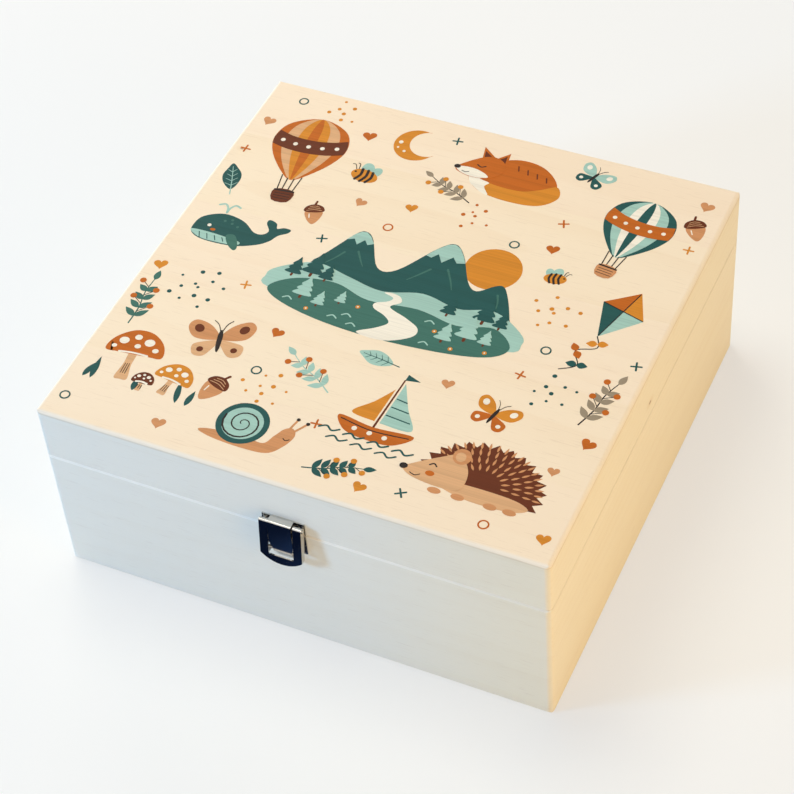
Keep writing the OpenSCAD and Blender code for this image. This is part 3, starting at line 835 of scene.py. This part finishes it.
def fox():
    body = curve([(-22, -6), (-17, 7), (-2, 15), (14, 13), (26, 2), (26, -10), (14, -17), (-8, -16)])
    tail = curve([
        (27, 0), (31, -9), (22, -19), (4, -21.5), (-14, -19), (-24, -12), (-26, -5), (-18, -8.6), (-6, -11),
        (8, -10.6), (18, -6)])
    tip = curve([
        (-9, -20.4), (-17, -17.6), (-24, -12), (-26, -5), (-18, -8.6), (-12, -10.2), (-13.6, -14)], 5)
    head = curve([(-36, -3), (-31, -7.4), (-22, -8.6), (-12, -5.6), (-7.4, 2), (-10, 9), (-17, 12), (-25, 9)])
    cheek = curve([(-36, -3), (-31, -7.2), (-22, -8.4), (-14.6, -6), (-20, -2.4), (-28, -1)], 5)
    shapes = [("rust", body)]
    for k in range(4):
        x = -1 + 6.4 * k
        shapes += [line("brown", 0.8, (x, 9.4 - 1.4 * k), (x + 1.4, 5.6 - 1.4 * k))]
    shapes += [
        ("amber", tail), ("cream", tip), ("rust", [(-24, 8), (-26.4, 19), (-16.6, 11.6)]),
        ("rust", [(-16, 11), (-9.6, 18.4), (-8, 7)]),
        ("brown", [(-23.4, 10), (-24.8, 15.8), (-19.2, 11.8)]),
        ("brown", [(-14.2, 11), (-10.6, 15.2), (-9.6, 8.8)]), ("rust", head), ("cream", cheek),
        ("line", oval(-35.4, -2.6, 2.0, 1.7)), line("line", 0.8, (-24.6, 2.6), (-22, 1.2), (-19.4, 2.6)),
        line("line", 0.5, (-31.4, -5.4), (-29, -5.8), (-27.2, -4.8))]
    printed("fox", shapes)


def snail():
    body = curve([
        (-20, 0), (-12, 2.6), (4, 3.4), (14, 3), (17, 9), (20, 15), (24, 16.4), (26.6, 12), (24, 4),
        (18, -2.4), (4, -3.6), (-12, -2.6)])
    whorl = [
        (-1 + (12.6 - i * 0.26) * cos(i * 0.36), 11 + (12.6 - i * 0.26) * sin(i * 0.36))
        for i in range(46)]
    shapes = [
        ("clay", body), ("teal", oval(-1, 11, 13.4)), ("mint", oval(-1, 11, 10.4)),
        ("line", stroke(whorl[8:], 1.0, 0.5, smooth=False))]
    for x, lean in ((22, 78), (25, 58)):
        tip = (x + 8 * cos(radians(lean)), 15 + 8 * sin(radians(lean)))
        shapes += [line("clay", 1.1, (x, 15), tip), ("line", oval(tip[0], tip[1], 1.0))]
    shapes += [line("line", 0.5, (21.8, 9.2), (23.4, 8.2), (25.0, 9.4))]
    printed("snail", shapes)


def whale():
    body = curve([
        (-27, 1), (-23, 11), (-9, 17), (7, 13), (18, 4), (25, 3.4), (28, 8), (24, 15), (25, 19), (31, 16.6),
        (33, 11.6), (37.6, 13.4), (43, 12.6), (42, 9), (36, 4.6), (32, -2), (24, -8), (8, -13), (-14, -12),
        (-25, -7)], 5)
    belly = curve([(-26.6, -3), (-14, -3.4), (0, -5.6), (12, -8.4), (8, -12.2), (-14, -11.2), (-24, -7)])
    shapes = [("teal", body), ("mint", belly)]
    for k in range(4):
        shapes += [line("teal", 0.7, (-20 + 6 * k, -4.8 - 0.7 * k), (-18 + 6 * k, -10.4))]
    shapes += [("moss", curve([(0, -4), (4, -12), (10, -17), (12, -14), (9, -6), (5, -2)], 5))]
    shapes += [("cream", oval(-15.5, 3.4, 1.5)), ("rust", oval(-11.5, -0.4, 2.0, 1.3))]
    for x, y in ((-6, 10), (0, 8.4), (-1, 12), (5, 6)):
        shapes += [("moss", oval(x, y, 1.1))]
    for side in (-1, 1):
        shapes.append(
            line("mint", 1.5, (-8, 18.4), (-8 + side * 1, 23.6), (-8 + side * 4, 27), (-8 + side * 8, 25.4)))
    printed("whale", shapes)


def sailboat():
    hull = curve([(-21, -8), (-14, -17), (0, -19), (15, -17), (23, -7), (0, -9.4)])
    big = curve([(1.6, 26), (11, 10), (20, -4), (1.6, -5.4)], closed=False)
    small = curve([(-1.6, 20), (-8, 8), (-16, -3.6), (-1.6, -5.2)], closed=False)
    shapes = [
        line("brown", 1.3, (0, -9), (0, 28), taper=0.7), ("rust", hull), ("mint", big), ("amber", small),
        line("line", 0.7, (-19, -10), (0, -12), (21, -9.4)), ("teal", [(0, 28), (0, 32.6), (8.4, 30)])]
    for k in range(3):
        shapes += [line("teal", 0.8, (2.4, 14 - 6.4 * k), (8.6 + 4.0 * k, 13.4 - 6.4 * k))]
        shapes += [("cream", oval(-9 + 9 * k, -14, 1.5))]
    for row, x0 in ((0, -27), (1, -20)):
        for k in range(4 - row):
            x, y = x0 + 14.6 * k, -20.4 - 5 * row
            shapes += [line("teal", 1.1, (x, y), (x + 3.8, y + 2.2), (x + 7.6, y), (x + 11.4, y + 2.2))]
    printed("sailboat", shapes)


def kite():
    shapes = [
        ("rust", [(0, 20), (-13, 3), (0, 3)]), ("amber", [(0, 20), (0, 3), (13, 3)]),
        ("teal", [(-13, 3), (0, -20), (0, 3)]), ("mint", [(0, 3), (0, -20), (13, 3)]),
        line("line", 0.6, (0, 19), (0, -19)), line("line", 0.6, (-12.4, 3), (12.4, 3))]
    tail = [(0, -20), (5, -27), (-3, -35), (4, -43), (-2, -51)]
    shapes += [line("line", 0.6, *tail)]
    for (x, y), turn, colour in (
            ((3.4, -24.6), 30, "amber"), ((-2.6, -35), -40, "rust"), ((3.6, -43), 20, "teal")):
        for way in (0, 180):
            shapes += [(colour, petal(x, y, 6, 4.4, turn + way))]
    printed("kite", shapes)


def butterfly(name, upper, lower, spots):
    shapes = []
    for side in (-1, 1):
        high = curve([(0, 1), (6, 10), (15, 14), (19, 9), (15, 1), (6, -1)])
        low = curve([(0, -1), (7, -2), (14, -5), (13, -12), (7, -13), (2, -6)])
        shapes += [(upper, moved(high, flip=side)), (lower, moved(low, flip=side))]
        shapes += [
            (spots, oval(side * 12.6, 7.6, 2.6, 3.2, side * -30)), (spots, oval(side * 9.4, -8.2, 1.9)),
            line("line", 0.5, (side * 0.6, 6), (side * 2.4, 11), (side * 5.2, 14))]
    shapes += [("line", curve([(0, 7), (-1.4, 3), (-1.2, -6), (0, -10), (1.2, -6), (1.4, 3)], 5))]
    printed("butterfly_" + name, shapes)


def bee(name, flip=1):
    shapes = [
        ("mint", oval(-1, 6.4, 4.4, 6.2, 24)), ("mint", oval(5, 6, 3.6, 5.2, -18)),
        ("amber", oval(0, 0, 9.4, 5.8))]
    for k in (-3.4, 0.6, 4.4):
        half = 5.6 * sqrt(1 - (k / 9.4) ** 2)
        shapes += [line("line", 1.9, (k - 0.6, -half), (k + 0.7, 0), (k - 0.6, half))]
    shapes += [
        ("line", oval(-7.2, 1.2, 0.8)), line("line", 0.5, (-8, 3.6), (-10.6, 7), (-12.6, 6.8)),
        line("line", 0.5, (-6.6, 4.4), (-8, 8.4), (-9.6, 9))]
    printed("bee_" + name, shapes, flip)


def sprig(name, blade, berry, pairs=4):
    stem = [(0, -19), (1.4, -6), (0.6, 6), (2.4, 18)]
    shapes = [("line" if blade == "taupe" else blade, stroke(stem, 0.9, 0.6))]
    berries = []
    for i in range(pairs):
        y0 = -13 + i * 27 / pairs
        for side in (-1, 1):
            shapes += [(blade, petal(1, y0, 9.2 - i * 0.7, 4.0, 90 - side * 50))]
            if (i + (side > 0)) % 2:
                tip = (1 + side * (6.4 - i * 0.5), y0 + 9 - i * 0.3)
                berries += [line("line", 0.4, (1, y0 + 3.6), tip), (berry, oval(*tip, 1.9))]
    shapes += [(blade, petal(2.4, 17, 8, 4, 84))]
    printed("sprig_" + name, shapes + berries)


# A single leaf with its veins
def leaf(name, colour, vein):
    blade = curve([(0, -13), (-5.4, -6), (-6.6, 2), (-3.4, 9), (0, 14), (3.6, 9), (6.6, 2), (5.2, -6)], 5)
    shapes = [(colour, blade), line(vein, 0.8, (0, -18), (0.3, -4), (0, 10.6), taper=0.5)]
    for k in range(4):
        for side in (-1, 1):
            shapes.append(
                line(vein, 0.5, (0, -9 + 4.6 * k), (side * (4.6 - 0.5 * k), -6.2 + 4.6 * k), taper=0.5))
    printed("leaf_" + name, shapes)


# Small crosses and rings, strewn like confetti
def confetti():
    shapes = []
    for x, y, turn, colour in (
            (-22, 134, 10, "teal"), (64, 88, 20, "rust"), (-140, 84, 0, "rust"), (-86, -22, 12, "amber"),
            (86, -32, -8, "rust"), (142, -4, 14, "teal"), (-2, -104, 6, "rust"), (60, -132, 30, "teal"),
            (-134, -92, 22, "amber"), (-62, 28, 18, "teal"), (138, 92, 4, "amber")):
        for way in (turn, turn + 90):
            dx, dy = 2.9 * cos(radians(way)), 2.9 * sin(radians(way))
            shapes += [line(colour, 1.1, (x - dx, y - dy), (x + dx, y + dy))]
    for x, y, colour in (
            (-126, 136, "teal"), (44, 62, "teal"), (-140, -134, "teal"), (108, -136, "rust"),
            (-50, -80, "teal"), (92, -10, "teal"), (-30, 50, "rust")):
        for i in range(4):
            arc = oval(x, y, 2.7, start=90 * i - 3, end=90 * i + 93, steps=8)
            shapes += [line(colour, 0.9, *arc, smooth=False)]
    printed("confetti", shapes)


def acorn(name):
    nut = curve([(-6, 2), (-5, -6), (0, -12), (5, -6), (6, 2)])
    cup = curve([(-7.4, 2), (-6, 7), (0, 9.4), (6, 7), (7.4, 2), (0, 0.6)])
    shapes = [("clay", nut), ("brown", cup), line("brown", 1.6, (0, 8.6), (1.2, 12.4))]
    for row in range(3):
        shapes.append(
            line("tan", 0.4, (-5.6 + row, 2.6 + row * 1.9), (0, 3.6 + row * 1.9),
            (5.6 - row, 2.6 + row * 1.9)))
    shapes += [line("cream", 0.8, (-3.2, -1), (-2.8, -5))]
    printed("acorn_" + name, shapes)


def crescent():
    outer = oval(0, 0, 13, start=50, end=310, steps=40)
    inner = oval(6.6, 0, 10.4, start=287, end=73, steps=30)
    spots = [("cream", oval(*spot)) for spot in ((-8.6, 3.6, 1.3), (-7, -4.4, 0.9), (-10.4, -0.6, 0.7))]
    printed("crescent", [("amber", outer + inner)] + spots)


def hearts():
    spots = [
        (-74, 120, 4.4, 12, "rust"), (-54, 64, 3.8, -14, "clay"), (66, 66, 4.0, 10, "rust"),
        (136, 130, 4.4, -8, "clay"), (-140, -24, 4.2, 16, "amber"), (-52, -50, 4.0, -10, "rust"),
        (52, -52, 3.8, 8, "clay"), (138, -66, 4.4, -16, "rust"), (-82, -134, 4.2, 8, "clay"),
        (38, -136, 4.0, -12, "amber"), (140, -134, 4.0, 10, "amber"), (-138, 112, 4.2, -8, "clay"),
        (-24, 70, 3.8, 14, "amber"), (128, -90, 3.4, 6, "clay")]
    printed("hearts", [(colour, heartShape(x, y, size, turn)) for x, y, size, turn, colour in spots])


dots = {
    "radius": 0.00105,
    "height": 0.00005,
    "lift": 0.3,
    "sides": 14,
    "turn": radians(137.5),
    "jitter": 0.0009,
    "sizes": (0.75, 1.35),
    # Place, count, spread, colour and seed of each cluster
    "clusters": (
        ((-0.098, 0.134), 7, 0.0046, "amber", 3),
        ((0.086, 0.018), 10, 0.0050, "amber", 5),
        ((-0.110, -0.034), 13, 0.0050, "teal", 8),
        ((-0.040, -0.094), 12, 0.0048, "amber", 13),
        ((0.106, -0.038), 9, 0.0048, "teal", 21),
        ((0.014, 0.076), 8, 0.0042, "rust", 34),
    ),
}


# The tree that sprinkles round dots of ink in a spiral, each a little out of its place
def dotTree():
    tree = bpy.data.node_groups.new("inkDots", "GeometryNodeTree")
    tree.interface.new_socket("Geometry", in_out="OUTPUT", socket_type="NodeSocketGeometry")
    inputs = (
        ("Count", "Int"), ("Spread", "Float"), ("Radius", "Float"), ("Height", "Float"),
        ("Sides", "Int"), ("Middle", "Vector"), ("Seed", "Int"), ("Ink", "Material"))
    for name, kind in inputs:
        tree.interface.new_socket(name, in_out="INPUT", socket_type="NodeSocket" + kind)
    given = tree.nodes.new("NodeGroupInput").outputs

    def put(kind, links, **settings):
        node = tree.nodes.new(kind)
        for key, value in settings.items():
            setattr(node, key, value)
        for key, value in links.items():
            if hasattr(value, "is_linked"):
                tree.links.new(value, node.inputs[key])
            else:
                node.inputs[key].default_value = value
        return node.outputs

    def maths(operation, first, second=0.0):
        return put("ShaderNodeMath", {0: first, 1: second}, operation=operation)[0]

    points = put("GeometryNodePoints", {"Count": given["Count"]})[0]
    index = put("GeometryNodeInputIndex", {})[0]
    angle = maths("MULTIPLY", index, dots["turn"])
    reach = maths("MULTIPLY", maths("SQRT", index), given["Spread"])
    across = maths("MULTIPLY", maths("COSINE", angle), reach)
    along = maths("MULTIPLY", maths("SINE", angle), reach)
    spiral = put("ShaderNodeCombineXYZ", {0: across, 1: along})[0]
    loose = dots["jitter"]
    reach = {0: (-loose, -loose, 0.0), 1: (loose, loose, 0.0), "Seed": given["Seed"]}
    jitter = put("FunctionNodeRandomValue", reach, data_type="FLOAT_VECTOR")[0]
    shaken = put("ShaderNodeVectorMath", {0: spiral, 1: jitter}, operation="ADD")[0]
    place = put("ShaderNodeVectorMath", {0: shaken, 1: given["Middle"]}, operation="ADD")[0]
    placed = put("GeometryNodeSetPosition", {"Geometry": points, "Position": place})[0]
    shape = {"Vertices": given["Sides"], "Radius": given["Radius"], "Depth": given["Height"]}
    disc = put("GeometryNodeMeshCylinder", shape)[0]
    least, most = dots["sizes"]
    size = put("FunctionNodeRandomValue", {2: least, 3: most, "Seed": given["Seed"]}, data_type="FLOAT")[1]
    flat = put("ShaderNodeCombineXYZ", {0: size, 1: size, 2: 1.0})[0]
    spread = put("GeometryNodeInstanceOnPoints", {"Points": placed, "Instance": disc, "Scale": flat})[0]
    real = put("GeometryNodeRealizeInstances", {"Geometry": spread})[0]
    inked = put("GeometryNodeSetMaterial", {"Geometry": real, "Material": given["Ink"]})[0]
    put("NodeGroupOutput", {0: inked})
    return tree


def sprinkleDots():
    tree = dotTree()
    for i, (place, count, spread, colour, seed) in enumerate(dots["clusters"]):
        piece = inScene(f"print_dots_{i + 1}", bpy.data.meshes.new("dots"))
        modifier = piece.modifiers.new("inkDots", "NODES")
        modifier.node_group = tree
        values = {
            "Count": count, "Spread": spread, "Radius": dots["radius"], "Height": dots["height"],
            "Sides": dots["sides"], "Seed": seed, "Ink": inkMaterial(colour),
            "Middle": (*place, lidTop + dots["height"] * dots["lift"]),
        }
        for item in tree.interface.items_tree:
            if item.in_out == "INPUT":
                modifier[item.identifier] = values[item.name]
        asPlainMesh(piece)
        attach(piece, "lid")


def drawPrint():
    landscape()
    balloon("rust", ("rust", "tan", "amber", "brown"), "brown")
    balloon("teal", ("teal", "mint", "cream", "rust"), "clay")
    for motif in (fox, mushrooms, hedgehog, snail, whale, sailboat, kite):
        motif()
    butterfly("tan", "clay", "tan", "brown")
    butterfly("mint", "mint", "teal", "cream")
    butterfly("amber", "amber", "rust", "cream")
    bee("left")
    bee("right", flip=-1)
    sprig("left", "moss", "rust")
    sprig("front", "teal", "amber", pairs=5)
    sprig("right", "taupe", "rust")
    sprig("middle", "mint", "rust")
    sprig("back", "taupe", "amber")
    leaf("teal", "teal", "mint")
    leaf("mint", "mint", "teal")
    for place in ("left", "front", "back"):
        acorn(place)
    crescent()
    hearts()
    confetti()
    sprinkleDots()


placeCamera()
lightStudio()
print("stage 2: camera and light")
dressBoards()
dressMetal()
print("stage 3: wood and metal")
drawPrint()
print("stage 4: print")


def flatSheet(name, wide, deep, place, material):
    x, y = wide / 2, deep / 2
    mesh = bpy.data.meshes.new(name)
    mesh.from_pydata([(-x, -y, 0), (x, -y, 0), (x, y, 0), (-x, y, 0)], [], [(0, 1, 2, 3)])
    mesh.materials.append(material)
    sheet = inScene(name, mesh)
    sheet.location = place
    return sheet


# The floor is pale, and the card on it is what the bright metal mirrors
def buildFloor():
    paint = Paint("pale_floor")
    matt = paint.add("ShaderNodeBsdfDiffuse", {}, {"Color": studio["floorColour"]})
    glow = paint.add("ShaderNodeEmission", {}, {"Color": (1.0, 1.0, 1.0, 1.0), "Strength": 1.0})
    rays = [paint.add("ShaderNodeLightPath", {}, {}, output=f"Is {kind} Ray") for kind in studio["seenBy"]]
    place = paint.add("ShaderNodeTexCoord", {}, {}, output="Object")
    reach = paint.add("ShaderNodeVectorMath", {"operation": "LENGTH"}, {0: place}, output="Value")
    fade = paint.smooth(reach, *studio["fadeReach"]) * (1 - studio["glow"]) + studio["glow"]
    both = paint.add("ShaderNodeMixShader", {}, {0: sum(rays[1:], rays[0]) * fade, 1: matt, 2: glow})
    paint.add("ShaderNodeOutputMaterial", {}, {"Surface": both})
    side = studio["floorSize"]
    flatSheet("floor", side, side, (0, 0, studio["floorDrop"]), paint.material)


def buildCard():
    paint = Paint("dark_card")
    place = paint.add("ShaderNodeTexCoord", {}, {}, output="Object")
    drawn = paint.add("ShaderNodeMapping", {}, {0: place, "Scale": studio["streakPace"]})
    streak = paint.smooth(paint.noise(drawn, 1.0, 1.0), *studio["streakReach"])
    shade = paint.mix(streak, studio["cardColour"], studio["cardStreak"])
    dark = paint.add("ShaderNodeEmission", {}, {"Color": shade, "Strength": 1.0})
    paint.add("ShaderNodeOutputMaterial", {}, {"Surface": dark})
    card = flatSheet("card", *studio["cardSize"], studio["cardPlace"], paint.material)
    for kind in ("camera", "diffuse", "transmission", "shadow", "volume_scatter"):
        setattr(card, "visible_" + kind, False)


buildFloor()
buildCard()
